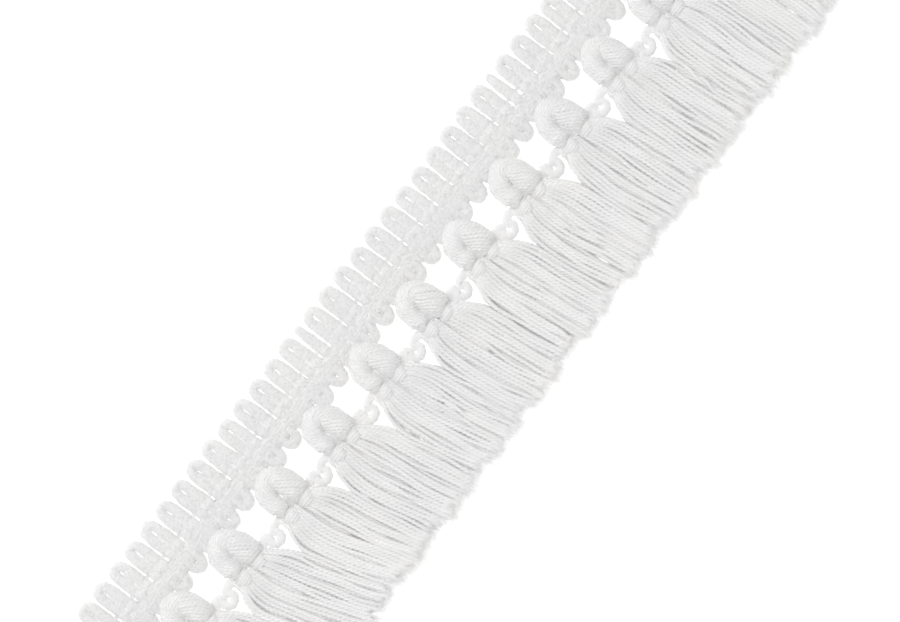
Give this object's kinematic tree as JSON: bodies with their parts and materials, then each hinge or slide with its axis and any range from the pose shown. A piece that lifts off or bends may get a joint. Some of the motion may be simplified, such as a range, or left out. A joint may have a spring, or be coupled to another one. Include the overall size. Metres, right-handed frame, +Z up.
{
  "type": "tassel fringe trim",
  "caption": "Cut length of flat tassel fringe: a looped gimp heading with scalloped inner edge, a row of folded tassels and a waving cord that ties their necks.",
  "frame": {"origin": "centre of the box around the trim as it lies, on the surface under it", "axes": "+X along the trim's length, +Y towards the heading's outer loops, +Z up out of the surface"},
  "size_m": [0.2124, 0.05, 0.0065],
  "materials": {
    "gimp": "white twisted gimp cord, soft satin",
    "tassel": "white plied rayon-like yarn with a silky sheen",
    "tie_cord": "white fine knitted cord, matt"
  },
  "bodies": {
    "root": {"heading": "gimp", "tassel_01": "tassel", "tassel_02": "tassel", "tassel_03": "tassel", "tassel_04": "tassel", "tassel_05": "tassel", "tassel_06": "tassel", "tassel_07": "tassel", "tassel_08": "tassel", "tassel_09": "tassel", "tassel_10": "tassel", "tassel_11": "tassel", "tassel_12": "tassel", "tassel_13": "tassel", "tie_cord": "tie_cord"}
  },
  "joints": []
}
